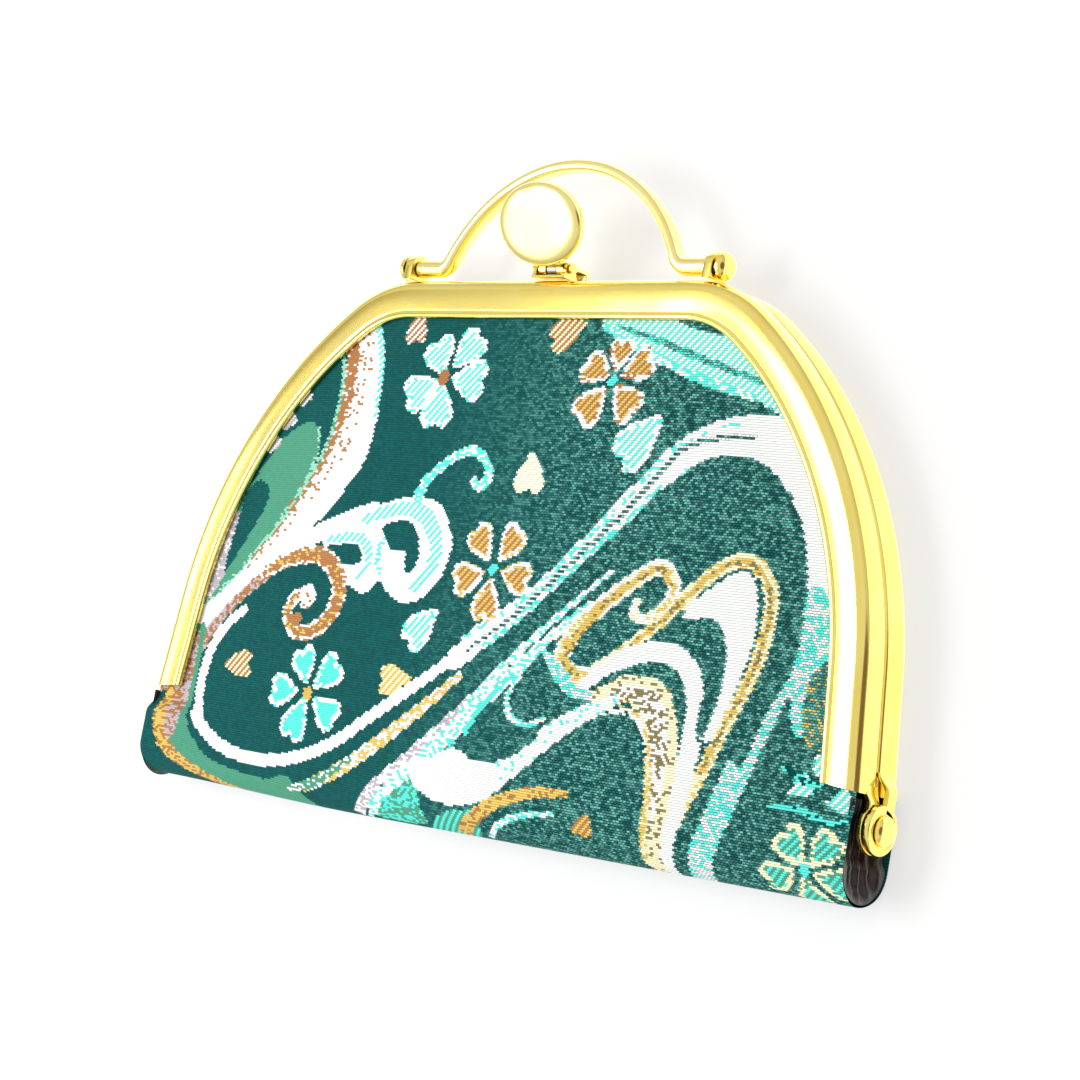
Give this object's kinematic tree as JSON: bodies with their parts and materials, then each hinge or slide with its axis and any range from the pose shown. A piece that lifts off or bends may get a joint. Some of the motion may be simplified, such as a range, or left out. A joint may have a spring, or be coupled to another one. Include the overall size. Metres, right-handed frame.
{
  "type": "clasp pouch",
  "caption": "Flat brocade pouch in a gilt comb-shaped frame that opens on end hinges, with an arch handle, a tilting tab latch and pleated ends.",
  "frame": {"origin": "centre of the footprint, on the surface the closed pouch lies on", "axes": "+X to the pouch's right seen from its front, +Y towards its handle, +Z out of its front face, so the pouch lies on its back"},
  "size_m": [0.1874, 0.1302, 0.0204],
  "materials": {
    "gold": "polished gilt",
    "pale_gold": "satin pale gilt",
    "spring_steel": "drawn wire",
    "brocade": "woven silk brocade, teal ground",
    "satin": "dark brown satin",
    "paper": "twisted paper"
  },
  "bodies": {
    "back": {"back_frame": "gold", "hinge_rivet_right": "gold", "hinge_rivet_left": "gold", "latch_keeper": "gold", "back_panel": "brocade", "back_lining": "satin", "back_cord": "paper", "bottom_fold": "brocade", "gusset_right": "satin", "gusset_left": "satin"},
    "front": {"front_frame": "gold", "front_panel": "brocade", "front_lining": "satin", "front_cord": "paper", "handle_lug_right": "gold", "handle_lug_left": "gold", "latch_yoke": "gold", "latch_pin": "gold", "latch_spring": "spring_steel"},
    "handle": {"handle_arch": "gold", "handle_cap_right": "gold", "handle_cap_left": "gold"},
    "latch": {"latch_tab": "pale_gold"}
  },
  "joints": [
    {"name": "mouth_open", "type": "hinge", "parent": "back", "child": "front", "pos_m": [0, -0.05199, 0.0065], "axis": [1, 0, 0], "range_deg": [0, 60], "deforming": ["bottom_fold", "gusset_right", "gusset_left", "latch_keeper"]},
    {"name": "handle_swing", "type": "hinge", "parent": "front", "child": "handle", "pos_m": [0, 0.04379, 0.0096], "axis": [1, 0, 0], "range_deg": [-90, 90]},
    {"name": "latch_tilt", "type": "hinge", "parent": "front", "child": "latch", "pos_m": [0, 0.04324, 0.0108], "axis": [1, 0, 0], "range_deg": [0, 25], "stiffness_Nm_per_rad": 0.05, "springref_deg": -11.46, "deforming": ["latch_spring"]}
  ]
}
